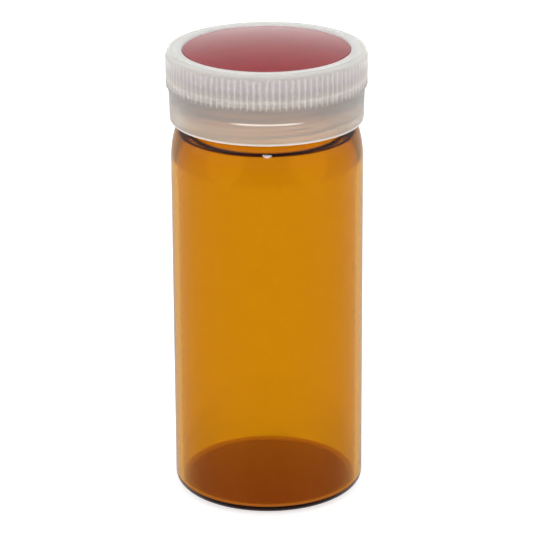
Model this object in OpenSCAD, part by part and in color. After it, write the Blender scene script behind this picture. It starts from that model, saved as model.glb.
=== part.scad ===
// Prescription vial: an amber glass vial with a screw cap, a domed top disc and a sealing liner.
// Millimetres. +Z is up, and the origin is the middle of the face that the vial stands on.

/* [Vial] */
// Outside diameter of the body
body_d = 35; // [30:0.5:45]
// Height of the glass, from the standing face to the rim
glass_h = 78; // [50:1:120]
// Thickness of the body's wall
glass_wall = 1.2; // [0.9:0.1:1.6]
// Thickness of the floor
floor_t = 1.2; // [1:0.1:3]
// Radius of the heel, where the wall turns into the base
heel_r = 2.1; // [1.6:0.1:3.5]
// Width of the flat ring that the vial stands on
standing_w = 1; // [0.6:0.1:4]
// Height of the hollow under the base
push_up = 0.8; // [0.3:0.1:1.2]
// Radius of the long curve that leads the body into the shoulder
shoulder_r = 19; // [14:0.5:24]
// Lean of the wall where that curve ends and the shoulder turns in, in degrees
shoulder_lean = 16.5; // [12:0.5:20]
// Radius of the shoulder's turn
turn_r = 2.2; // [1.8:0.1:3]
// Radius of that turn inside the vial
inner_turn_r = 0.4; // [0.3:0.05:1]
// How far the inner turn's middle is below the outer one's
inner_turn_drop = 0.5; // [0:0.05:0.8]

/* [Neck and thread] */
// How far the neck stands in from the body, on each side
neck_step = 2.3; // [2:0.1:2.8]
// Length of the straight neck, from the shoulder to the rim
neck_h = 6.9; // [6.4:0.1:12]
// Thickness of the neck's wall
neck_wall = 1.5; // [1.2:0.1:2.2]
// Radius between the shoulder and the neck
neck_fillet = 0.6; // [0.3:0.1:0.8]
// Radius of the rim's two edges
rim_r = 0.6; // [0.3:0.1:0.7]
// Rise of the thread in one turn
thread_pitch = 3.5; // [3:0.1:4.2]
// Height of the glass thread above the neck
thread_depth = 0.85; // [0.5:0.05:1.1]
// Turns of thread on the glass
glass_turns = 1.1; // [0.8:0.1:1.1]
// Turns of thread in the cap
cap_turns = 0.9; // [0.5:0.1:1]
// Distance from the rim down to the middle of the glass thread's upper end
thread_drop = 2.05; // [1.8:0.05:2.4]

/* [Cap] */
// Height of the ribbed band
band_h = 6.5; // [4:0.1:7.5]
// How far the ribs' crests stand out from the top of the skirt
band_step = 0.45; // [0.3:0.05:1]
// Thickness of the skirt's wall at its lower edge
skirt_wall = 1.25; // [0.9:0.05:2]
// How much wider the skirt is at its top than at its lower edge, on each side
skirt_draft = 0.2; // [0.05:0.05:0.35]
// Distance from one rib to the next
rib_pitch = 1.146; // [0.9:0.001:2]
// Height of a rib
rib_depth = 0.22; // [0.1:0.01:0.3]
// Height of the slope under the band, from the ribs' roots in to the skirt
band_slope_h = 0.6; // [0.2:0.1:0.9]
// Width of the top's rim round the disc, from its bore to the ribs' roots
rim_w = 2.75; // [2.4:0.05:4.5]
// Depth of the well that the disc sits in
well_depth = 3.7; // [3:0.1:5]
// Thickness of the deck between the disc and the liner
deck_t = 1.3; // [0.6:0.1:1.5]
// Radius of the top's outer edge
top_edge_r = 0.55; // [0.3:0.05:0.6]
// Height of the groove that holds the liner in the cap
groove_h = 3.4; // [2.4:0.1:4]
// Depth of that groove in the skirt's wall
groove_depth = 0.55; // [0.3:0.05:0.6]

/* [Disc] */
// Thickness of the domed disc
disc_t = 1.2; // [0.8:0.1:1.8]
// Height of the dome's crown above the disc's edge
dome_rise = 1.2; // [0.6:0.1:2.5]
// Thickness of the wall that hangs from the disc's edge and stands on the deck
disc_wall = 1.1; // [0.7:0.1:1.6]
// Radius of the snap bead on that wall
bead_r = 0.3; // [0.15:0.05:0.4]

/* [Liner] */
// Thickness of the sealing liner
liner_t = 1.15; // [0.6:0.05:2]

/* [Clearances] */
// Radial clearance between a thread's crest and the wall that it faces
thread_play = 0.3; // [0.2:0.05:0.4]
// Gap between the skirt's lower edge and the crown of the shoulder
skirt_gap = 0.32; // [0.2:0.02:1]
// Radial clearance between the disc and its well
disc_play = 0.05; // [0.03:0.01:0.1]
// Radial clearance between the liner and its groove
liner_play = 0.2; // [0.1:0.05:0.25]
// Gap between the rim and the liner
seal_gap = 0.05; // [0.02:0.01:0.1]

/* [Hidden] */
$fn = 96;

// Angle of one step along a profile's arc, and facets of one turn of thread.
arc_step = 6;
thread_facets = 60;

// Vial: radii, where the shoulder's arcs have their centres, and the lean where the inner ones meet.
body_r = body_d / 2;
inner_r = body_r - glass_wall;
neck_r = body_r - neck_step;
bore_r = neck_r - neck_wall;
turn_x = body_r - shoulder_r + (shoulder_r - turn_r) * cos(shoulder_lean);
neck_z = glass_h - neck_h;
fillet_x = neck_r + neck_fillet;
turn_z = neck_z - sqrt(pow(turn_r + neck_fillet, 2) - pow(fillet_x - turn_x, 2));
fillet_a = acos((fillet_x - turn_x) / (turn_r + neck_fillet));
curve_z = turn_z - (shoulder_r - turn_r) * sin(shoulder_lean);
bore_edge_r = min(0.5, turn_x - bore_r);
standing_r = body_r - heel_r - standing_w;
inner_heel_r = max(0.5, heel_r - glass_wall);
inner_curve_x = inner_r - shoulder_r;
inner_turn_z = turn_z - inner_turn_drop;
inner_curve_z = inner_turn_z - sqrt(pow(shoulder_r - inner_turn_r, 2) - pow(turn_x - inner_curve_x, 2));
inner_lean = atan2(inner_turn_z - inner_curve_z, turn_x - inner_curve_x);

// Thread: width across its crest, what each flank adds per unit of height, how far its foot is sunk
// in the wall, how far its crest dips into the wall at both ends, and the angle of its run-out.
crest_w = 0.7;
flank_slope = 0.36;
glass_sink = 0.25;
cap_sink = groove_depth + 0.15;
end_dip = 0.1;
run_out = 30;
glass_thread_z = glass_h - thread_drop - glass_turns * thread_pitch;

// Cap: heights from the glass up, radii from the neck out.
liner_z = glass_h + seal_gap;
deck_z = liner_z + liner_t;
well_z = deck_z + deck_t;
top_z = well_z + well_depth;
ledge_z = top_z - band_h;
skirt_z = turn_z + turn_r + skirt_gap;
cap_inner_r = neck_r + thread_depth + thread_play;
skirt_r = cap_inner_r + skirt_wall;
ledge_r = skirt_r + skirt_draft;
crest_r = ledge_r + band_step;
root_r = crest_r - rib_depth;
well_r = root_r - rim_w;
groove_r = cap_inner_r + groove_depth;
groove_z = deck_z - groove_h;
skirt_edge_r = 0.4;
well_edge_r = 0.3;
bead_drop = 2;
cap_thread_lift = 1.3;
cap_thread_z = max(glass_thread_z, skirt_z + cap_thread_lift);

// Ribs: how many fit round the band, and where they end below the top.
rib_count = round(2 * PI * crest_r / rib_pitch);
rib_foot_share = 0.62;
rib_crest_share = 0.24;
rib_sink = 0.1;
rib_top_gap = top_edge_r + 0.1;

// Disc and liner.
disc_r = well_r - disc_play;
dome_edge_z = top_z - 0.1;
disc_edge_r = 0.35;
liner_r = groove_r - liner_play;

// Points of an arc about c from angle a to angle b, both ends included.
function arc(c, r, a, b) =
    let (n = max(2, ceil(abs(b - a) / arc_step)))
    [for (i = [0:n]) c + r * [cos(a + (b - a) * i / n), sin(a + (b - a) * i / n)]];

// The same arc without its first point, for a curve that goes on from another.
function arc_on(c, r, a, b) = let (p = arc(c, r, a, b)) [for (i = [1:len(p) - 1]) p[i]];

// Radius of the sphere whose cap has this half width and rise.
function cap_radius(half, rise) = (half * half + rise * rise) / (2 * rise);

// A shallow dome's outline, from its crown at (0, z + rise) out to (half, z).
function dome_out(half, rise, z) =
    let (r = cap_radius(half, rise), a = asin(half / r))
    [for (i = [0:8]) [r * sin(a * i / 8), z + rise - r + r * cos(a * i / 8)]];

function reversed(p) = [for (i = [len(p) - 1:-1:0]) p[i]];

// Half section of the glass: up the outside, over the rim and down the inside.
function glass_outline() = concat(
    dome_out(standing_r, push_up, 0),
    arc([body_r - heel_r, heel_r], heel_r, -90, 0),
    arc([body_r - shoulder_r, curve_z], shoulder_r, 0, shoulder_lean),
    arc_on([turn_x, turn_z], turn_r, shoulder_lean, fillet_a),
    arc_on([fillet_x, neck_z], neck_fillet, 180 + fillet_a, 180),
    arc([neck_r - rim_r, glass_h - rim_r], rim_r, 0, 90),
    arc([bore_r + rim_r, glass_h - rim_r], rim_r, 90, 180),
    arc([bore_r + bore_edge_r, inner_turn_z + inner_turn_r + bore_edge_r], bore_edge_r, 180, 270),
    arc_on([turn_x, inner_turn_z], inner_turn_r, 90, inner_lean),
    arc_on([inner_curve_x, inner_curve_z], shoulder_r, inner_lean, 0),
    arc([inner_r - inner_heel_r, floor_t + inner_heel_r], inner_heel_r, 0, -90),
    reversed(dome_out(standing_r, push_up, floor_t))
);

// Run-out of a thread, from 0 at its ends to 1 past the run-out angle.
function thread_height(angle, turns) =
    let (t = min(1, angle / run_out, (turns * 360 - angle) / run_out)) sin(90 * t);

// A helical ridge that rises anticlockwise. Its foot is sunk in the wall at wall_r, and its crest
// stands depth outside that wall, or inside it where depth is negative.
module thread_ridge(wall_r, depth, sink, z, start, turns) {
    way = sign(depth);
    foot = wall_r - way * sink;
    foot_w = crest_w + 2 * flank_slope * (abs(depth) + sink);
    n = ceil(turns * thread_facets);
    section = [for (i = [0:n])
        let (a = turns * 360 * i / n,
             h = z + thread_pitch * a / 360,
             crest = wall_r + way * ((abs(depth) + end_dip) * thread_height(a, turns) - end_dip))
        [for (p = [[foot, h - foot_w / 2], [crest, h - crest_w / 2],
                   [crest, h + crest_w / 2], [foot, h + foot_w / 2]])
            [p[0] * cos(start + a), p[0] * sin(start + a), p[1]]]];
    points = [for (s = section) each s];
    sides = [for (i = [0:n - 1], k = [0:3])
        let (a = 4 * i + k, b = 4 * i + (k + 1) % 4)
        each [[a, b, b + 4], [a, b + 4, a + 4]]];
    ends = [[3, 2, 1], [3, 1, 0], [4 * n, 4 * n + 1, 4 * n + 2], [4 * n, 4 * n + 2, 4 * n + 3]];
    faces = concat(sides, ends);
    polyhedron(points, way > 0 ? faces : [for (f = faces) reversed(f)]);
}

// Angle at which the cap's thread starts, so that it runs half a pitch below the glass thread.
cap_thread_start = 360 * (cap_thread_z - glass_thread_z + thread_pitch / 2) / thread_pitch;

module vial_body() {
    color("darkgoldenrod") {
        rotate_extrude() polygon(glass_outline());
        thread_ridge(neck_r, thread_depth, glass_sink, glass_thread_z, 0, glass_turns);
    }
}

// Cross-section of the ribbed band. Each rib is a low trapezium on the band's round root.
module ribbed_section() {
    step = 360 / rib_count;
    foot = step * rib_foot_share / 2;
    crest = step * rib_crest_share / 2;
    polygon([for (i = [0:rib_count - 1])
        each [for (p = [[root_r - rib_sink, -foot], [crest_r, -crest],
                        [crest_r, crest], [root_r - rib_sink, foot]])
            p[0] * [cos(i * step + p[1]), sin(i * step + p[1])]]]);
}

// Outside of the cap as a solid of revolution, from the skirt's lower edge to the top's edge.
module cap_outside() {
    rotate_extrude() polygon(concat(
        [[0, skirt_z]],
        arc([skirt_r - skirt_edge_r, skirt_z + skirt_edge_r], skirt_edge_r, -90, 0),
        [[ledge_r, ledge_z - band_slope_h], [root_r, ledge_z]],
        arc([root_r - top_edge_r, top_z - top_edge_r], top_edge_r, 0, 90),
        [[0, top_z]]
    ));
}

// Well for the disc, with the groove that its bead snaps into and a rounded mouth.
module disc_well() {
    rotate_extrude() polygon(concat(
        [[0, well_z], [well_r, well_z]],
        arc([well_r, top_z - bead_drop], bead_r + disc_play, -90, 90),
        arc([well_r + well_edge_r, top_z - well_edge_r], well_edge_r, 180, 90),
        [[well_r + well_edge_r, top_z + 1], [0, top_z + 1]]
    ));
}

// Hollow inside the cap: the threaded bore, and above it the liner's groove under the deck.
module cap_hollow() {
    rotate_extrude() polygon([
        [0, skirt_z - 1],
        [cap_inner_r + skirt_edge_r, skirt_z - 1],
        [cap_inner_r + skirt_edge_r, skirt_z],
        [cap_inner_r, skirt_z + skirt_edge_r],
        [cap_inner_r, groove_z - groove_depth],
        [groove_r, groove_z],
        [groove_r, deck_z],
        [0, deck_z]
    ]);
}

module cap_shell() {
    color("gainsboro") {
        difference() {
            union() {
                cap_outside();
                translate([0, 0, ledge_z])
                    linear_extrude(height = band_h - rib_top_gap) ribbed_section();
            }
            disc_well();
            cap_hollow();
        }
        thread_ridge(cap_inner_r, -thread_depth, cap_sink, cap_thread_z, cap_thread_start, cap_turns);
    }
}

// Domed disc: a shallow inverted cup whose wall snaps into the well.
module cap_disc() {
    wall_in = disc_r - disc_wall;
    color("firebrick") rotate_extrude() polygon(concat(
        dome_out(disc_r - disc_edge_r, dome_rise, dome_edge_z),
        arc_on([disc_r - disc_edge_r, dome_edge_z - disc_edge_r], disc_edge_r, 80, 0),
        arc([disc_r, top_z - bead_drop], bead_r, 90, -90),
        [[disc_r, well_z], [wall_in, well_z]],
        reversed(dome_out(wall_in, dome_rise, dome_edge_z - disc_t))
    ));
}

module sealing_liner() {
    color("whitesmoke") translate([0, 0, liner_z]) cylinder(r = liner_r, h = liner_t);
}

vial_body();
cap_shell();
cap_disc();
sealing_liner();
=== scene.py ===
"""A prescription vial: amber glass with a screw neck, a ribbed translucent cap, a red domed disc and a liner."""
import math

import bpy
from bpy.props import FloatProperty, FloatVectorProperty, IntProperty, PointerProperty
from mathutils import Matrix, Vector


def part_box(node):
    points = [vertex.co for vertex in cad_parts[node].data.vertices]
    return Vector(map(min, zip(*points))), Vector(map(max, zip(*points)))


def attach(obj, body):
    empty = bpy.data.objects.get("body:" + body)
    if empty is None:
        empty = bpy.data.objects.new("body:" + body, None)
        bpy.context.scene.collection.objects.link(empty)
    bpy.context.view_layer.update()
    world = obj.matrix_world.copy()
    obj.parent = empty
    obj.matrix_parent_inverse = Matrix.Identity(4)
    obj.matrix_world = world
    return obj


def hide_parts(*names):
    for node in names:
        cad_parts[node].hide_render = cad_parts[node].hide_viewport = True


bl_info = {
    "name": "Prescription Vial",
    "version": (1, 0, 0),
    "blender": (4, 5, 0),
    "location": "View3D > Sidebar > Vial",
    "description": "Builds an amber glass vial with its screw cap, disc and liner, and a plain studio",
    "category": "Add Mesh",
}

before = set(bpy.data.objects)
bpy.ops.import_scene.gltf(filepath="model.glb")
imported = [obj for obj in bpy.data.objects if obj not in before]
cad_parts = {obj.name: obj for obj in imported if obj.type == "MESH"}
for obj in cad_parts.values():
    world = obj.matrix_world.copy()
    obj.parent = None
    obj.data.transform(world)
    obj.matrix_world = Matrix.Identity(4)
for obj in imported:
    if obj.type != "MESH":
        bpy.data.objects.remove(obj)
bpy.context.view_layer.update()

MM = 0.001
TURN = 2 * math.pi
GLASS_LOW, GLASS_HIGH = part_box("vial_body")
CAP_LOW, CAP_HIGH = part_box("cap_shell")
DISC_LOW, DISC_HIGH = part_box("cap_disc")
LINER_LOW, LINER_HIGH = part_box("sealing_liner")


# ---------------------------------------------------------------- outlines and turned meshes

def arc(centre, radius, start, end, step=6.0):
    """Points on an arc, both ends included. Angles are in degrees."""
    count = max(2, math.ceil(abs(end - start) / step))
    points = []
    for i in range(count + 1):
        angle = math.radians(start + (end - start) * i / count)
        points.append((centre[0] + radius * math.cos(angle), centre[1] + radius * math.sin(angle)))
    return points


def dome(half_width, rise, height, count=10):
    """A shallow dome's outline, from its crown on the axis out to its edge at the given height."""
    radius = (half_width ** 2 + rise ** 2) / (2 * rise)
    full = math.asin(half_width / radius)
    points = []
    for i in range(count + 1):
        angle = full * i / count
        points.append((radius * math.sin(angle), height + rise - radius * (1 - math.cos(angle))))
    return points


def rungs(radius, low, high, step):
    """Evenly spaced points up (or down) a straight wall, both ends included."""
    count = max(1, math.ceil(abs(high - low) / step))
    return [(radius, low + (high - low) * i / count) for i in range(count + 1)]


def without_repeats(outline):
    """The outline with points that coincide with the one before left out."""
    kept = [outline[0]]
    for point in outline[1:]:
        if math.dist(point, kept[-1]) > 1e-7:
            kept.append(point)
    return kept


def turned(name, outline, steps):
    """A closed mesh: the outline, from axis to axis, turned about Z. It runs anticlockwise about its solid."""
    outline = without_repeats(outline)
    rings, vertices = [], []
    for radius, height in outline:
        if radius < 1e-9:
            rings.append([len(vertices)] * steps)
            vertices.append((0.0, 0.0, height))
            continue
        rings.append(list(range(len(vertices), len(vertices) + steps)))
        for i in range(steps):
            angle = TURN * i / steps
            vertices.append((radius * math.cos(angle), radius * math.sin(angle), height))
    faces = []
    for low, high in zip(rings, rings[1:]):
        for i in range(steps):
            j = (i + 1) % steps
            corners = (low[i], low[j], high[j], high[i])
            faces.append(tuple(dict.fromkeys(corners)))
    mesh = bpy.data.meshes.new(name)
    mesh.from_pydata(vertices, [], faces)
    mesh.validate()
    mesh.shade_smooth()
    piece = bpy.data.objects.new(name, mesh)
    bpy.context.scene.collection.objects.link(piece)
    return piece


# ---------------------------------------------------------------- node trees

class Number:
    """A socket that holds a number. Arithmetic on it adds Math nodes to its tree."""

    def __init__(self, graph, socket):
        self.graph = graph
        self.socket = socket

    def maths(self, operation, *values):
        node = self.graph.node("ShaderNodeMath", dict(enumerate(values)), operation=operation)
        return Number(self.graph, node.outputs[0])

    def __add__(self, other):
        return self.maths("ADD", self, other)

    def __radd__(self, other):
        return self.maths("ADD", other, self)

    def __sub__(self, other):
        return self.maths("SUBTRACT", self, other)

    def __rsub__(self, other):
        return self.maths("SUBTRACT", other, self)

    def __mul__(self, other):
        return self.maths("MULTIPLY", self, other)

    def __rmul__(self, other):
        return self.maths("MULTIPLY", other, self)

    def __truediv__(self, other):
        return self.maths("DIVIDE", self, other)

    def __rtruediv__(self, other):
        return self.maths("DIVIDE", other, self)

    def __abs__(self):
        return self.maths("ABSOLUTE", self)

    def lowest(self, other):
        return self.maths("MINIMUM", self, other)

    def highest(self, other):
        return self.maths("MAXIMUM", self, other)

    def over(self, other):
        return self.maths("GREATER_THAN", self, other)

    def under(self, other):
        return self.maths("LESS_THAN", self, other)

    def smooth(self, low, high):
        """0 below low and 1 above high, with a smooth rise between. It falls where low is above high."""
        node = self.graph.node(
            "ShaderNodeMapRange",
            {"Value": self, "From Min": low, "From Max": high},
            interpolation_type="SMOOTHSTEP",
        )
        return Number(self.graph, node.outputs["Result"])


class Graph:
    """Adds nodes to one node tree."""

    def __init__(self, tree):
        self.tree = tree

    def node(self, kind, sockets=None, **settings):
        """A new node. Its settings are set first, then its sockets, by name or number, as values or links."""
        made = self.tree.nodes.new(kind)
        stops = settings.pop("stops", None)
        for name, value in settings.items():
            setattr(made, name, value)
        if stops:
            ramp = made.color_ramp.elements
            while len(ramp) < len(stops):
                ramp.new(0.5)
            for stop, (place, colour) in zip(ramp, stops):
                stop.position = place
                stop.color = (*colour, 1.0)
        for key, value in (sockets or {}).items():
            self.put(made.inputs[key], value)
        return made

    def put(self, socket, value):
        """Links the value to the socket, or sets it there."""
        if isinstance(value, Number):
            value = value.socket
        if isinstance(value, bpy.types.NodeSocket):
            self.tree.links.new(value, socket)
        else:
            socket.default_value = value

    def number(self, socket):
        return Number(self, socket)

    def mix(self, factor, first, second, blend_type="MIX"):
        """Two colours mixed."""
        node = self.node("ShaderNodeMix", data_type="RGBA", blend_type=blend_type)
        self.put(node.inputs[0], factor)
        self.put(node.inputs[6], first)
        self.put(node.inputs[7], second)
        return node.outputs[2]


class Surface(Graph):
    """A material's tree, with its output and a Principled shader in place."""

    def __init__(self, name, **constants):
        self.material = bpy.data.materials.new(name)
        self.material.use_nodes = True
        super().__init__(self.material.node_tree)
        self.tree.nodes.clear()
        self.output = self.node("ShaderNodeOutputMaterial")
        self.shader = self.node("ShaderNodeBsdfPrincipled", constants)
        self.put(self.output.inputs["Surface"], self.shader.outputs["BSDF"])
        self.place = self.node("ShaderNodeTexCoord").outputs["Object"]

    def noise(self, scale, detail=2.0, stretch=(1, 1, 1)):
        """Noise over the piece, from 0 to 1, with scale in cells per metre."""
        mapping = self.node("ShaderNodeMapping", {"Vector": self.place, "Scale": stretch})
        noise = self.node(
            "ShaderNodeTexNoise",
            {"Vector": mapping.outputs["Vector"], "Scale": scale, "Detail": detail},
        )
        return self.number(noise.outputs["Fac"])

    def bump(self, height, distance, strength=1.0):
        """Bumps the surface by a height from 0 to 1, with distance as that height's size."""
        node = self.node(
            "ShaderNodeBump",
            {"Height": height, "Distance": distance, "Strength": strength},
        )
        self.put(self.shader.inputs["Normal"], node.outputs["Normal"])

    def paint(self, name, value):
        self.put(self.shader.inputs[name], value)


class Shaper(Graph):
    """A Geometry Nodes tree that moves the points of a turned wall in or out, and gives it its material."""

    def __init__(self, name, sizes):
        tree = bpy.data.node_groups.new(name, "GeometryNodeTree")
        super().__init__(tree)
        tree.interface.new_socket(name="Geometry", in_out="INPUT", socket_type="NodeSocketGeometry")
        self.identifiers = {}
        for size in sizes:
            item = tree.interface.new_socket(name=size, in_out="INPUT", socket_type="NodeSocketFloat")
            self.identifiers[size] = item.identifier
        item = tree.interface.new_socket(name="Material", in_out="INPUT", socket_type="NodeSocketMaterial")
        self.identifiers["Material"] = item.identifier
        tree.interface.new_socket(name="Geometry", in_out="OUTPUT", socket_type="NodeSocketGeometry")
        self.given = self.node("NodeGroupInput")
        position = self.node("GeometryNodeInputPosition")
        parts = self.node("ShaderNodeSeparateXYZ", {0: position.outputs[0]})
        self.x, self.y, self.z = (self.number(parts.outputs[i]) for i in range(3))
        self.radius = (self.x * self.x + self.y * self.y).maths("SQRT", self.x * self.x + self.y * self.y)
        self.angle = self.x.maths("ARCTAN2", self.y, self.x)

    def size(self, name):
        return self.number(self.given.outputs[name])

    def finish(self, selection, outward):
        """Moves the selected points outward from the Z axis by a number, then realizes and paints the result."""
        way = self.node("ShaderNodeCombineXYZ", {0: self.x / self.radius, 1: self.y / self.radius})
        offset = self.node(
            "ShaderNodeVectorMath", {0: way.outputs[0], "Scale": outward}, operation="SCALE"
        )
        moved = self.node(
            "GeometryNodeSetPosition",
            {"Geometry": self.given.outputs["Geometry"], "Selection": selection, "Offset": offset.outputs[0]},
        )
        real = self.node("GeometryNodeRealizeInstances", {"Geometry": moved.outputs[0]})
        painted = self.node(
            "GeometryNodeSetMaterial",
            {"Geometry": real.outputs[0], "Material": self.given.outputs["Material"]},
        )
        result = self.node("NodeGroupOutput")
        self.put(result.inputs["Geometry"], painted.outputs[0])

    def apply(self, piece, material, values):
        """Runs the tree on a piece and keeps the result as its plain mesh."""
        modifier = piece.modifiers.new(self.tree.name, "NODES")
        modifier.node_group = self.tree
        for name, value in values.items():
            modifier[self.identifiers[name]] = value
        modifier[self.identifiers["Material"]] = material
        depsgraph = bpy.context.evaluated_depsgraph_get()
        mesh = bpy.data.meshes.new_from_object(piece.evaluated_get(depsgraph))
        piece.modifiers.remove(modifier)
        piece.data = mesh


def thread_shaper(starts=2):
    """Raises a helical thread with a flat crest, sloping flanks and run-outs on a round wall."""
    g = Shaper(
        "Screw Thread",
        ("Wall Radius", "Height", "Pitch", "Turns", "First Angle", "First Height", "Crest Width",
         "Flank Width", "Run Out Turns"),
    )
    turn = ((g.angle - g.size("First Angle")) / TURN).maths("FRACT", (g.angle - g.size("First Angle")) / TURN)
    ridge = None
    for lap in range(starts):
        along = turn + lap
        middle = g.size("First Height") + g.size("Pitch") * along
        away = abs(g.z - middle)
        crest = g.size("Crest Width") / 2
        side = away.smooth(crest + g.size("Flank Width"), crest)
        ends = along.smooth(0.0, g.size("Run Out Turns"))
        ends = ends * (g.size("Turns") - along).smooth(0.0, g.size("Run Out Turns"))
        ridge = side * ends if ridge is None else ridge.highest(side * ends)
    on_wall = abs(g.radius - g.size("Wall Radius")).under(0.02 * MM)
    g.finish(on_wall, ridge * g.size("Height"))
    return g


def rib_shaper():
    """Raises upright ribs on a round band, fading out towards its top."""
    g = Shaper(
        "Grip Ribs",
        ("Root Radius", "Height", "Count", "Crest Share", "Foot Share", "Low", "High", "Fade"),
    )
    steps = g.angle * g.size("Count") / TURN
    from_crest = abs((steps + 0.5).maths("FRACT", steps + 0.5) - 0.5) * 2
    rib = from_crest.smooth(g.size("Foot Share"), g.size("Crest Share"))
    rib = rib * g.z.smooth(g.size("High"), g.size("High") - g.size("Fade"))
    on_band = abs(g.radius - g.size("Root Radius")).under(0.02 * MM)
    g.finish(on_band * g.z.over(g.size("Low")), rib * g.size("Height"))
    return g


# ---------------------------------------------------------------- sizes and colours

class VialSizes(bpy.types.PropertyGroup):
    """Sizes of the glass that its box doesn't give"""
    wall: FloatProperty(name="Wall", description="Thickness of the wall", default=1.2 * MM, unit="LENGTH")
    floor: FloatProperty(name="Floor", description="Thickness of the floor", default=1.2 * MM, unit="LENGTH")
    heel: FloatProperty(name="Heel", description="Radius of the heel", default=2.1 * MM, unit="LENGTH")
    standing: FloatProperty(
        name="Standing Ring", description="Width of the ring that it stands on", default=1.0 * MM, unit="LENGTH")
    push_up: FloatProperty(name="Push-up", description="Height of the hollow base", default=0.8 * MM, unit="LENGTH")
    shoulder: FloatProperty(
        name="Shoulder", description="Radius of the long curve below the shoulder", default=19 * MM, unit="LENGTH")
    lean: FloatProperty(
        name="Lean", description="Lean of the wall where that curve ends", default=math.radians(16.5),
        subtype="ANGLE")
    turn: FloatProperty(name="Turn", description="Radius of the shoulder's turn", default=2.2 * MM, unit="LENGTH")
    inner_turn: FloatProperty(
        name="Inner Turn", description="Radius of the turn inside", default=0.4 * MM, unit="LENGTH")
    inner_drop: FloatProperty(
        name="Inner Drop", description="How far that turn's middle is below the outer one's", default=0.5 * MM,
        unit="LENGTH")
    neck_step: FloatProperty(
        name="Neck Step", description="How far the neck stands in from the body", default=2.3 * MM, unit="LENGTH")
    neck_height: FloatProperty(
        name="Neck Height", description="Length of the straight neck", default=6.9 * MM, unit="LENGTH")
    neck_wall: FloatProperty(name="Neck Wall", description="Thickness of the neck", default=1.5 * MM, unit="LENGTH")
    fillet: FloatProperty(
        name="Neck Fillet", description="Radius between shoulder and neck", default=0.6 * MM, unit="LENGTH")
    rim: FloatProperty(name="Rim", description="Radius of the rim's edges", default=0.6 * MM, unit="LENGTH")
    steps: IntProperty(name="Steps", description="Faces round the glass", default=288, min=96)


class ThreadSizes(bpy.types.PropertyGroup):
    """Sizes of the thread on the glass and in the cap"""
    pitch: FloatProperty(name="Pitch", description="Rise in one turn", default=3.5 * MM, unit="LENGTH")
    height: FloatProperty(name="Height", description="Height of the ridge", default=0.85 * MM, unit="LENGTH")
    crest: FloatProperty(name="Crest", description="Width across the crest", default=0.6 * MM, unit="LENGTH")
    flank: FloatProperty(name="Flank", description="Width of one flank", default=0.42 * MM, unit="LENGTH")
    run_out: FloatProperty(name="Run-out", description="Turns over which the thread fades in", default=0.085)
    drop: FloatProperty(
        name="Drop", description="From the rim to the middle of the thread's upper end", default=2.05 * MM,
        unit="LENGTH")
    glass_turns: FloatProperty(name="Turns on Glass", description="Turns of thread on the glass", default=1.1)
    cap_turns: FloatProperty(name="Turns in Cap", description="Turns of thread in the cap", default=0.9)
    play: FloatProperty(name="Play", description="Radial clearance at a crest", default=0.3 * MM, unit="LENGTH")
    cap_lift: FloatProperty(
        name="Cap Thread Lift", description="From the skirt's edge to the first turn's middle", default=1.3 * MM,
        unit="LENGTH")


class CapSizes(bpy.types.PropertyGroup):
    """Sizes of the cap"""
    band: FloatProperty(name="Band", description="Height of the ribbed band", default=6.5 * MM, unit="LENGTH")
    slope: FloatProperty(name="Slope", description="Height of the slope under it", default=0.6 * MM, unit="LENGTH")
    rib_count: IntProperty(name="Ribs", description="Ribs round the band", default=100, min=12)
    rib_height: FloatProperty(name="Rib Height", description="Height of a rib", default=0.22 * MM, unit="LENGTH")
    rib_crest: FloatProperty(name="Rib Crest", description="A crest's share of the spacing", default=0.2)
    rib_foot: FloatProperty(name="Rib Foot", description="A foot's share of the spacing", default=0.72)
    steps_per_rib: IntProperty(name="Steps per Rib", description="Faces across a rib and its gap", default=10)
    step: FloatProperty(name="Step", description="Crests out from the skirt's top", default=0.45 * MM, unit="LENGTH")
    skirt_wall: FloatProperty(name="Skirt", description="Thickness of the skirt", default=1.25 * MM, unit="LENGTH")
    skirt_edge: FloatProperty(
        name="Skirt Edge", description="Radius of the skirt's edge", default=0.4 * MM, unit="LENGTH")
    top_edge: FloatProperty(name="Top Edge", description="Radius of the top's edge", default=0.55 * MM, unit="LENGTH")
    rim: FloatProperty(name="Rim", description="Width of the rim round the disc", default=2.75 * MM, unit="LENGTH")
    well: FloatProperty(name="Well", description="Depth of the disc's well", default=3.7 * MM, unit="LENGTH")
    well_edge: FloatProperty(name="Well Edge", description="Radius of its mouth", default=0.3 * MM, unit="LENGTH")
    groove: FloatProperty(
        name="Liner Groove", description="Depth of the liner's groove", default=0.55 * MM, unit="LENGTH")
    groove_height: FloatProperty(
        name="Groove Height", description="Height of the liner's groove", default=3.4 * MM, unit="LENGTH")


class DiscSizes(bpy.types.PropertyGroup):
    """Sizes of the domed disc"""
    thickness: FloatProperty(name="Thickness", description="Of the dome", default=1.2 * MM, unit="LENGTH")
    rise: FloatProperty(name="Rise", description="Of the crown over the edge", default=1.2 * MM, unit="LENGTH")
    wall: FloatProperty(name="Wall", description="Thickness of the hanging wall", default=1.1 * MM, unit="LENGTH")
    edge: FloatProperty(name="Edge", description="Radius of the disc's edge", default=0.35 * MM, unit="LENGTH")
    bead: FloatProperty(name="Bead", description="Radius of the snap bead", default=0.3 * MM, unit="LENGTH")
    bead_drop: FloatProperty(name="Bead Drop", description="From the cap's top to it", default=2 * MM, unit="LENGTH")
    play: FloatProperty(name="Play", description="Between disc and well", default=0.05 * MM, unit="LENGTH")


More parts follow.
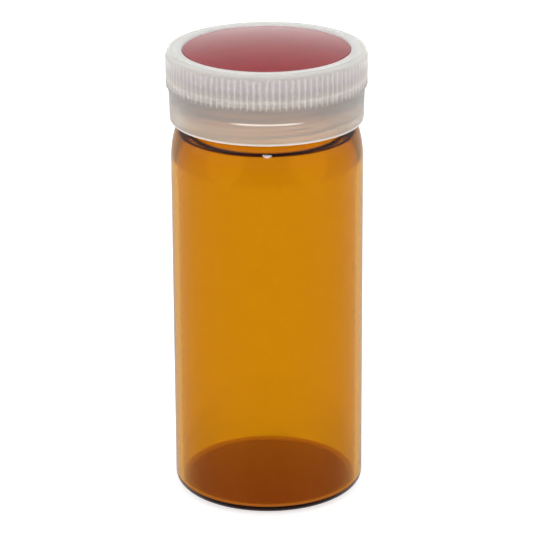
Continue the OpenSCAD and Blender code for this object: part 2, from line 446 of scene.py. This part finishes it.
class Finishes(bpy.types.PropertyGroup):
    """Colours of the pieces"""
    glass_kept: FloatVectorProperty(
        name="Glass", description="Share of each colour left after one wall", subtype="COLOR", size=3,
        default=(0.92, 0.775, 0.40), min=0, max=1)
    glass_skin: FloatVectorProperty(
        name="Glass Skin", description="Share of each colour left by the skins of one wall", subtype="COLOR", size=3,
        default=(0.745, 0.55, 0.05), min=0, max=1)
    # Painted shade: the floor of the glass is darkened and reddened, for the dim floor beneath the vial.
    glass_base_shade: FloatVectorProperty(
        name="Glass Base", description="The same for the floor, which is a little redder", subtype="COLOR", size=3,
        default=(0.49, 0.13, 0.36), min=0, max=1)
    plastic: FloatVectorProperty(
        name="Cap", description="Colour of the natural plastic", subtype="COLOR", size=3,
        default=(0.93, 0.92, 0.90), min=0, max=1)
    disc: FloatVectorProperty(
        name="Disc", description="Colour of the disc", subtype="COLOR", size=3, default=(0.30, 0.008, 0.014),
        min=0, max=1)
    liner: FloatVectorProperty(
        name="Liner", description="Colour of the liner", subtype="COLOR", size=3, default=(0.86, 0.85, 0.82),
        min=0, max=1)


class StageSettings(bpy.types.PropertyGroup):
    """Camera, light and floor"""
    distance: FloatProperty(
        name="Distance", description="From the vial's axis to the camera, level", default=512.5 * MM, unit="LENGTH")
    height: FloatProperty(
        name="Height", description="Of the camera over the floor", default=230.5 * MM, unit="LENGTH")
    tilt: FloatProperty(
        name="Tilt", description="Of the view below level", default=math.radians(20.165), subtype="ANGLE")
    roll: FloatProperty(name="Roll", description="Of the camera", default=-0.0058, subtype="ANGLE")
    lens: FloatProperty(name="Lens", description="Focal length in millimetres", default=199.7)
    sky: FloatProperty(name="Surround", description="Brightness of the white surround", default=1.0)
    key: FloatProperty(name="Top Light", description="Power of the light overhead", default=2.6, unit="POWER")
    fill: FloatProperty(name="Fill Light", description="Power of each light at the sides", default=9.2, unit="POWER")
    front: FloatProperty(name="Front Light", description="Power of the small light in front", default=1.0, unit="POWER")
    glow: FloatProperty(name="Floor Glow", description="Light that comes up through the floor", default=0.62)


# Greys of the surround, from the near side at 0 to the far side at 1: what gloss sees in place of the floor,
# and the room above it.
ABOVE = (
    (0.0, (0.12,) * 3),
    (0.35, (0.18,) * 3),
    (0.55, (0.40,) * 3),
    (0.80, (0.45,) * 3),
    (0.90, (0.50,) * 3),
    (0.96, (0.72,) * 3),
    (1.0, (0.95,) * 3),
)
BELOW = (
    (0.0, (0.05,) * 3),
    (0.42, (0.14,) * 3),
    (0.55, (0.19,) * 3),
    (0.70, (0.33,) * 3),
    (0.83, (0.50,) * 3),
    (0.90, (0.52,) * 3),
    (0.97, (0.58,) * 3),
    (1.0, (1.0,) * 3),
)

GROUPS = {
    "vial_sizes": VialSizes,
    "vial_thread": ThreadSizes,
    "vial_cap": CapSizes,
    "vial_disc": DiscSizes,
    "vial_finishes": Finishes,
    "vial_stage": StageSettings,
}


# ---------------------------------------------------------------- finishes

# Painted light and shade on the cap, from its top at 0 to the skirt's edge at 1: tints that stand in for what is seen
# through the plastic (violet from the red disc, a dark band of painted shade, the peach of the amber's light, thin
# painted highlight lines), and how milky it is, with spikes that carry those lines.
OUTER_LIGHT_AND_SHADE = (
    (0.0, (0.93, 0.94, 0.90)),
    (0.04, (0.80, 0.79, 0.77)),
    (0.20, (0.88, 0.83, 0.86)),
    (0.40, (1.0, 0.92, 0.87)),
    (0.96, (0.96, 0.92, 0.84)),
    (1.0, (1.0, 0.98, 0.95)),
)
INNER_LIGHT_AND_SHADE = (
    (0.0, (1.0, 1.0, 0.98)),
    (0.08, (0.94, 0.85, 0.88)),
    (0.28, (0.93, 0.80, 0.85)),
    (0.34, (0.97, 0.90, 0.86)),
    (0.455, (1.0, 0.97, 0.95)),
    (0.463, (0.22, 0.19, 0.22)),
    (0.60, (0.22, 0.19, 0.21)),
    (0.69, (0.32, 0.22, 0.19)),
    (0.71, (0.66, 0.47, 0.38)),
    (0.84, (0.74, 0.54, 0.42)),
    (0.88, (0.98, 0.76, 0.58)),
)
OUTER_MILK = (
    (0.0, (0.62,) * 3),
    (0.06, (0.56,) * 3),
    (0.36, (0.50,) * 3),
    (0.41, (0.30,) * 3),
    (0.50, (0.24,) * 3),
    (0.955, (0.26,) * 3),
    (0.975, (0.70,) * 3),
)
INNER_MILK = (
    (0.0, (0.65,) * 3),
    (0.43, (0.65,) * 3),
    (0.445, (0.95,) * 3),
    (0.457, (0.95,) * 3),
    (0.463, (0.70,) * 3),
    (0.69, (0.60,) * 3),
    (0.72, (0.50,) * 3),
    (0.96, (0.45,) * 3),
)


def skin_ramp(s, depth, stops):
    return s.node("ShaderNodeValToRGB", {0: depth}, stops=stops).outputs[0]


def amber_glass(scene):
    """Clear amber glass: its colour comes from the length of glass that light crosses, and its bottom is darkened by
    painted shade.
    """
    sizes, colours = scene.vial_sizes, scene.vial_finishes
    s = Surface(
        "amber_glass",
        **{"Base Color": (*colours.glass_skin, 1), "Roughness": 0.0, "IOR": 1.52, "Transmission Weight": 1.0},
    )
    parts = s.node("ShaderNodeSeparateXYZ", {0: s.place})
    x, y, height = (s.number(parts.outputs[i]) for i in range(3))
    ring = GLASS_HIGH.x - sizes.heel
    # Painted shade: the bottom of the glass is darkened and reddened, for the dim floor under the vial.
    base = (x * x + y * y).smooth(ring ** 2, (ring - 1 * MM) ** 2) * height.smooth(2.6 * MM, 2.1 * MM)
    base = base.highest(height.smooth(1.2 * MM, 0.7 * MM))
    s.paint("Base Color", s.mix(base, (*colours.glass_skin, 1), (*colours.glass_base_shade, 1)))
    s.paint("Roughness", height.smooth(69.15 * MM, 69.45 * MM) * height.smooth(70.6 * MM, 70.3 * MM) * 0.16)
    waves = s.noise(90, 1.0, (1, 1, 0.35))
    s.bump(waves, 0.02 * MM)
    loss = [-math.log(kept) / sizes.wall for kept in colours.glass_kept]
    density = max(loss) * 1.02
    colour = [1 - each / density for each in loss]
    absorption = s.node("ShaderNodeVolumeAbsorption", {"Color": (*colour, 1), "Density": density})
    s.put(s.output.inputs["Volume"], absorption.outputs["Volume"])
    return s.material


def natural_plastic(scene):
    """Uncoloured polypropylene: clear where it is thin, milkier where it is thick, with a satin skin, painted light and
    shade by height and a painted highlight streak on its near side.
    """
    colour = scene.vial_finishes.plastic
    s = Surface(
        "natural_plastic",
        **{
            "Roughness": 0.38, "IOR": 1.49, "Subsurface Weight": 1.0, "Subsurface Radius": (1.0, 0.95, 0.9),
            "Subsurface Scale": 1.5 * MM,
        },
    )
    clear = s.node(
        "ShaderNodeBsdfPrincipled",
        {"Base Color": (0.97, 0.96, 0.95, 1), "IOR": 1.49, "Transmission Weight": 1.0},
    )
    parts = s.node("ShaderNodeSeparateXYZ", {0: s.place})
    x, y, z = (s.number(parts.outputs[i]) for i in range(3))
    radius = (x * x + y * y).maths("SQRT", x * x + y * y)
    inside = radius.smooth(17.1 * MM, 17.0 * MM)
    s.put(clear.inputs["Roughness"], inside * 0.24 + 0.05)
    depth = (CAP_HIGH.z - z) / (CAP_HIGH.z - CAP_LOW.z)
    # Painted light and shade: the tones seen through the cap, laid into its colour by height.
    tint = s.mix(inside, skin_ramp(s, depth, OUTER_LIGHT_AND_SHADE), skin_ramp(s, depth, INNER_LIGHT_AND_SHADE))
    cap = scene.vial_cap
    turn = x.maths("ARCTAN2", y, x) * (cap.rib_count / TURN) + 0.5
    across = abs(turn.maths("FRACT", turn) - 0.5)
    # Painted shade: the grooves between the ribs are darkened a little within the band.
    groove = across.smooth(0.26, 0.42)
    band = depth.smooth(0.5, 0.49) * depth.smooth(0.06, 0.10) * (1 - inside)
    tint = s.mix(groove * band * 0.06, tint, (0.45, 0.43, 0.44, 1))
    # Painted highlight: a cream streak round the skirt on its near side only, also made milky below.
    front_highlight = abs(depth - 0.691).smooth(0.022, 0.004) * 0.85 * abs(x).smooth(8.5 * MM, 4.0 * MM) * (1 - inside) * y.under(0)
    tint = s.mix(front_highlight, tint, (1.0, 0.96, 0.88, 1))
    # A faint random mottle, over the painted light and shade.
    cloud = s.noise(180, 3.0)
    mottle_light_and_shade = s.mix(cloud.smooth(0.35, 0.7) * 0.06, tint, (0.6, 0.6, 0.58, 1))
    s.paint("Base Color", s.mix(1.0, mottle_light_and_shade, (*colour, 1), "MULTIPLY"))
    milk = s.number(s.mix(inside, skin_ramp(s, depth, OUTER_MILK), skin_ramp(s, depth, INNER_MILK)))
    # Painted highlight: the rib crests are made milkier, which lightens them.
    milk = milk + across.smooth(0.13, 0.04) * band * 0.09
    both = s.node(
        "ShaderNodeMixShader", {0: milk.highest(front_highlight), 1: clear.outputs[0], 2: s.shader.outputs[0]})
    s.put(s.output.inputs["Surface"], both.outputs[0])
    s.bump(s.noise(5000, 2.0), 0.004 * MM)
    return s.material


def red_plastic(scene):
    """Glossy red plastic with a faint orange-peel skin."""
    colour = (*scene.vial_finishes.disc, 1)
    s = Surface("red_plastic", **{"IOR": 1.5})
    cloud = s.noise(250, 3.0)
    tint = s.mix(cloud.smooth(0.3, 0.7), colour, tuple(c * 0.9 for c in colour[:3]) + (1,))
    s.paint("Base Color", tint)
    s.paint("Roughness", cloud * 0.05 + 0.12)
    s.bump(s.noise(900, 1.0), 0.003 * MM)
    return s.material


def liner_foam(scene):
    """Matte fine-celled foam."""
    colour = (*scene.vial_finishes.liner, 1)
    s = Surface("liner_foam", **{"Roughness": 0.8, "IOR": 1.45})
    cells = s.noise(6000, 2.0)
    s.paint("Base Color", s.mix(cells.smooth(0.35, 0.65), tuple(c * 0.92 for c in colour[:3]) + (1,), colour))
    s.bump(cells, 0.02 * MM)
    return s.material


def floor_paper(scene):
    """Plain pale paper."""
    s = Surface("floor_paper", **{
        "Roughness": 0.9, "Emission Color": (1, 1, 1, 1), "Emission Strength": scene.vial_stage.glow,
    })
    grain = s.noise(400, 3.0)
    s.paint("Base Color", s.mix(grain, (0.64, 0.64, 0.64, 1), (0.66, 0.66, 0.66, 1)))
    return s.material


def finish(piece, material, body, node):
    """Paints a piece, sets it in the place of its CAD node and hangs it on the node's body."""
    piece.data.materials.clear()
    piece.data.materials.append(material)
    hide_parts(node)
    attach(piece, body)


# ---------------------------------------------------------------- shared places

def neck_radius(scene):
    return GLASS_HIGH.x - scene.vial_sizes.neck_step


def glass_thread_low(scene):
    thread = scene.vial_thread
    return GLASS_HIGH.z - thread.drop - thread.glass_turns * thread.pitch


# ---------------------------------------------------------------- pieces

class VIAL_OT_glass(bpy.types.Operator):
    """Build the amber glass vial with its threaded neck"""
    bl_idname = "vial.make_glass"
    bl_label = "Glass"

    def outline(self, scene):
        """Half section of the glass: over the base, up the outside, over the rim and down the inside."""
        s = scene.vial_sizes
        body, top = GLASS_HIGH.x, GLASS_HIGH.z
        inner, neck = body - s.wall, neck_radius(scene)
        bore = neck - s.neck_wall
        lean = math.degrees(s.lean)
        turn_x = body - s.shoulder + (s.shoulder - s.turn) * math.cos(s.lean)
        neck_z = top - s.neck_height
        reach, across = s.turn + s.fillet, neck + s.fillet - turn_x
        turn_z = neck_z - math.sqrt(reach ** 2 - across ** 2)
        fillet = math.degrees(math.acos(across / reach))
        curve_z = turn_z - (s.shoulder - s.turn) * math.sin(s.lean)
        curve_x = body - s.shoulder
        ring = body - s.heel - s.standing
        soft, edge = s.heel - s.wall, min(0.5 * MM, turn_x - bore)
        inner_x = inner - s.shoulder
        inner_z = turn_z - s.inner_drop
        inner_curve_z = inner_z - math.sqrt((s.shoulder - s.inner_turn) ** 2 - (turn_x - inner_x) ** 2)
        inner_lean = math.degrees(math.atan2(inner_z - inner_curve_z, turn_x - inner_x))
        return [
            *dome(ring, s.push_up, 0),
            *rungs(ring, 0, 0, 1)[:1],
            *arc((body - s.heel, s.heel), s.heel, -90, 0, 5),
            *rungs(body, s.heel, curve_z, 6 * MM),
            *arc((curve_x, curve_z), s.shoulder, 0, lean, 1.5),
            *arc((turn_x, turn_z), s.turn, lean, fillet, 4),
            *arc((neck + s.fillet, neck_z), s.fillet, 180 + fillet, 180, 8),
            *rungs(neck, neck_z, top - s.rim, 0.14 * MM),
            *arc((neck - s.rim, top - s.rim), s.rim, 0, 90, 8),
            *arc((bore + s.rim, top - s.rim), s.rim, 90, 180, 8),
            *arc((bore + edge, inner_z + s.inner_turn + edge), edge, 180, 270, 9),
            *arc((turn_x, inner_z), s.inner_turn, 90, inner_lean, 5),
            *arc((inner_x, inner_curve_z), s.shoulder, inner_lean, 0, 1.5),
            *rungs(inner, inner_curve_z, s.floor + soft, 6 * MM),
            *arc((inner - soft, s.floor + soft), soft, 0, -90, 6),
            *reversed(dome(ring, s.push_up, s.floor)),
        ]

    def execute(self, context):
        scene = context.scene
        sizes, thread = scene.vial_sizes, scene.vial_thread
        piece = turned("vial_glass", self.outline(scene), sizes.steps)
        material = amber_glass(scene)
        thread_shaper().apply(piece, material, {
            "Wall Radius": neck_radius(scene),
            "Height": thread.height,
            "Pitch": thread.pitch,
            "Turns": thread.glass_turns,
            "First Angle": 0.0,
            "First Height": glass_thread_low(scene),
            "Crest Width": thread.crest,
            "Flank Width": thread.flank,
            "Run Out Turns": thread.run_out,
        })
        finish(piece, material, "vial", "vial_body")
        return {"FINISHED"}


class VIAL_OT_cap(bpy.types.Operator):
    """Build the ribbed, threaded cap"""
    bl_idname = "vial.make_cap"
    bl_label = "Cap"

    def radii(self, scene):
        """The skirt's bore, and the radius of the ribs' roots and of the disc's well."""
        cap, thread = scene.vial_cap, scene.vial_thread
        bore = neck_radius(scene) + thread.height + thread.play
        root = CAP_HIGH.x - cap.rib_height
        return bore, root, root - cap.rim

    def outline(self, scene):
        """Half section of the cap: over the well's floor from below, down the bore, up the outside and into the well."""
        c, disc = scene.vial_cap, scene.vial_disc
        bore, root, well = self.radii(scene)
        low, top = CAP_LOW.z, CAP_HIGH.z
        deck, well_z, ledge = LINER_HIGH.z, top - c.well, top - c.band
        skirt, ledge_x = bore + c.skirt_wall, CAP_HIGH.x - c.step
        groove_z = deck - c.groove_height
        edge, bead = c.skirt_edge, disc.bead + disc.play
        return [
            (0, deck),
            (bore * 0.5, deck),
            *arc((bore + c.groove - 0.15 * MM, deck - 0.15 * MM), 0.15 * MM, 90, 0, 30),
            *rungs(bore + c.groove, deck - 0.15 * MM, groove_z, 1.2 * MM),
            (bore, groove_z - c.groove),
            *rungs(bore, groove_z - c.groove - 0.05 * MM, low + edge, 0.17 * MM),
            (bore + edge, low),
            *arc((skirt - edge, low + edge), edge, -90, 0, 15),
            *rungs(skirt, low + edge, low + edge, 1),
            (ledge_x - 0.02 * MM, ledge - c.slope - 0.3 * MM),
            (ledge_x + 0.04 * MM, ledge - c.slope + 0.1 * MM),
            (root - 0.03 * MM, ledge - 0.06 * MM),
            (root - 0.001 * MM, ledge),
            *rungs(root, ledge + 0.06 * MM, top - c.top_edge - 0.75 * MM, 2 * MM),
            *rungs(root, top - c.top_edge - 0.6 * MM, top - c.top_edge - 0.1 * MM, 0.16 * MM),
            *arc((root - c.top_edge, top - c.top_edge), c.top_edge, 0, 90, 12),
            *arc((well + c.well_edge, top - c.well_edge), c.well_edge, 90, 180, 15),
            *arc((well, top - disc.bead_drop), bead, 90, -90, 20),
            (well, well_z),
            (well * 0.5, well_z),
            (0, well_z),
        ]

    def execute(self, context):
        scene = context.scene
        cap, thread = scene.vial_cap, scene.vial_thread
        bore, root, _ = self.radii(scene)
        piece = turned("cap_moulding", list(reversed(self.outline(scene)))[::-1], cap.rib_count * cap.steps_per_rib)
        material = natural_plastic(scene)
        rib_shaper().apply(piece, material, {
            "Root Radius": root,
            "Height": cap.rib_height,
            "Count": float(cap.rib_count),
            "Crest Share": cap.rib_crest,
            "Foot Share": cap.rib_foot,
            "Low": CAP_HIGH.z - cap.band + 0.03 * MM,
            "High": CAP_HIGH.z - cap.top_edge - 0.1 * MM,
            "Fade": 0.5 * MM,
        })
        first = CAP_LOW.z + thread.cap_lift
        behind = (first - glass_thread_low(scene)) / thread.pitch + 0.5
        thread_shaper().apply(piece, material, {
            "Wall Radius": bore,
            "Height": -thread.height,
            "Pitch": thread.pitch,
            "Turns": thread.cap_turns,
            "First Angle": TURN * behind,
            "First Height": first,
            "Crest Width": thread.crest,
            "Flank Width": thread.flank,
            "Run Out Turns": thread.run_out,
        })
        finish(piece, material, "cap", "cap_shell")
        return {"FINISHED"}


class VIAL_OT_disc(bpy.types.Operator):
    """Build the red domed disc"""
    bl_idname = "vial.make_disc"
    bl_label = "Disc"

    def execute(self, context):
        scene = context.scene
        d = scene.vial_disc
        outer = DISC_HIGH.x - d.bead
        inner = outer - d.wall
        low, edge_z = DISC_LOW.z, DISC_HIGH.z - d.rise
        bead_z = CAP_HIGH.z - d.bead_drop
        outline = [
            *dome(inner, d.rise, edge_z - d.thickness, 14),
            *arc((inner + 0.25 * MM, low + 0.25 * MM), 0.25 * MM, 180, 270, 30),
            *arc((outer - 0.25 * MM, low + 0.25 * MM), 0.25 * MM, -90, 0, 30),
            *arc((outer, bead_z), d.bead, -90, 90, 15),
            *arc((outer - d.edge, edge_z - d.edge), d.edge, 0, 80, 10),
            *reversed(dome(outer - d.edge, d.rise, edge_z, 30)),
        ]
        piece = turned("cap_red_disc", outline, 256)
        finish(piece, red_plastic(scene), "cap", "cap_disc")
        return {"FINISHED"}


class VIAL_OT_liner(bpy.types.Operator):
    """Build the sealing liner"""
    bl_idname = "vial.make_liner"
    bl_label = "Liner"

    def execute(self, context):
        scene = context.scene
        radius, low, high = LINER_HIGH.x, LINER_LOW.z, LINER_HIGH.z
        edge = 0.18 * MM
        neck = neck_radius(scene)
        mark, depth = neck - scene.vial_sizes.neck_wall / 2, 0.06 * MM
        outline = [
            (0, low),
            (mark - 1.0 * MM, low),
            (mark - 0.6 * MM, low + depth),
            (mark + 0.6 * MM, low + depth),
            (mark + 1.0 * MM, low),
            *arc((radius - edge, low + edge), edge, -90, 0, 20),
            *arc((radius - edge, high - edge), edge, 0, 90, 20),
            (0, high),
        ]
        piece = turned("cap_liner", outline, 192)
        finish(piece, liner_foam(scene), "liner", "sealing_liner")
        return {"FINISHED"}


class VIAL_OT_stage(bpy.types.Operator):
    """Set the floor, the light and the camera"""
    bl_idname = "vial.make_stage"
    bl_label = "Stage"

    def softbox(self, name, power, size, place, seen=False):
        """An area light that faces the vial. Gloss shows it only where it is seen."""
        light = bpy.data.lights.new(name, "AREA")
        light.shape = "DISK"
        light.energy, light.size = power, size
        lamp = bpy.data.objects.new(name, light)
        lamp.location = place
        lamp.visible_glossy = seen
        lamp.visible_transmission = place[1] < 0.5 and not seen
        lamp.rotation_euler = (Vector((0, 0, 0.05)) - Vector(place)).to_track_quat("-Z", "Y").to_euler()
        bpy.context.scene.collection.objects.link(lamp)

    def execute(self, context):
        scene = context.scene
        st = scene.vial_stage
        camera = bpy.data.objects.new("camera", bpy.data.cameras.new("camera"))
        camera.location = (0, -st.distance, st.height)
        camera.rotation_euler = (math.pi / 2 - st.tilt, 0, 0)
        camera.rotation_euler.rotate_axis("Z", st.roll)
        camera.data.lens = st.lens
        camera.data.shift_x = -0.0023
        camera.data.clip_start = 0.01
        scene.collection.objects.link(camera)
        scene.camera = camera

        sheet = bpy.data.meshes.new("floor")
        corners = [(-4, -4, -0.03 * MM), (4, -4, -0.03 * MM), (4, 4, -0.03 * MM), (-4, 4, -0.03 * MM)]
        sheet.from_pydata(corners, [], [(0, 1, 2, 3)])
        floor = bpy.data.objects.new("floor", sheet)
        scene.collection.objects.link(floor)
        floor.data.materials.append(floor_paper(scene))

        self.softbox("top_light", st.key, 0.7, (0, 0.1, 1.0))
        self.softbox("front_light", st.front, 0.19, (0.0, -0.97, 0.37), seen=True)
        for name, side in (("left", -1), ("right", 1)):
            self.softbox(name + "_light", st.fill, 1.3, (side * 1.1, -0.7, 0.6))
            self.softbox(name + "_rim_light", st.fill, 0.8, (side * 1.0, 0.9, 0.4))
        floor.visible_glossy = False
        world = bpy.data.worlds.new("surround")
        scene.world = world
        world.use_nodes = True
        world.node_tree.nodes.clear()
        g = Graph(world.node_tree)
        way = g.node("ShaderNodeSeparateXYZ", {0: g.node("ShaderNodeTexCoord").outputs["Generated"]})
        back, up = g.number(way.outputs["Y"]), g.number(way.outputs["Z"])
        below = g.node("ShaderNodeValToRGB", {0: back * 0.5 + 0.5}, stops=BELOW)
        above = g.node("ShaderNodeValToRGB", {0: back * 0.5 + 0.5}, stops=ABOVE)
        grey = g.mix(up.smooth(-0.03, 0.0), below.outputs[0], above.outputs[0])
        light = g.node("ShaderNodeBackground", {"Color": grey, "Strength": st.sky})
        g.put(g.node("ShaderNodeOutputWorld").inputs["Surface"], light.outputs[0])
        scene.view_settings.view_transform = "Standard"
        scene.cycles.max_bounces = 24
        scene.cycles.transmission_bounces = 24
        scene.cycles.transparent_max_bounces = 16
        return {"FINISHED"}


OPERATORS = (VIAL_OT_glass, VIAL_OT_cap, VIAL_OT_disc, VIAL_OT_liner, VIAL_OT_stage)


class VIAL_PT_panel(bpy.types.Panel):
    """Lists the pieces, the stage and their sizes"""
    bl_label = "Prescription Vial"
    bl_idname = "VIAL_PT_panel"
    bl_space_type = "VIEW_3D"
    bl_region_type = "UI"
    bl_category = "Vial"

    def draw(self, context):
        for operator in OPERATORS:
            self.layout.operator(operator.bl_idname)
        for name in GROUPS:
            box = self.layout.box()
            group = getattr(context.scene, name)
            for key in group.__annotations__:
                box.prop(group, key)


def register():
    for cls in (*GROUPS.values(), *OPERATORS, VIAL_PT_panel):
        bpy.utils.register_class(cls)
    for name, group in GROUPS.items():
        setattr(bpy.types.Scene, name, PointerProperty(type=group))


def unregister():
    for name in GROUPS:
        delattr(bpy.types.Scene, name)
    for cls in reversed((*GROUPS.values(), *OPERATORS, VIAL_PT_panel)):
        bpy.utils.unregister_class(cls)


def main():
    register()
    for operator in OPERATORS:
        group, name = operator.bl_idname.split(".")
        getattr(getattr(bpy.ops, group), name)()


if __name__ == "__main__":
    main()
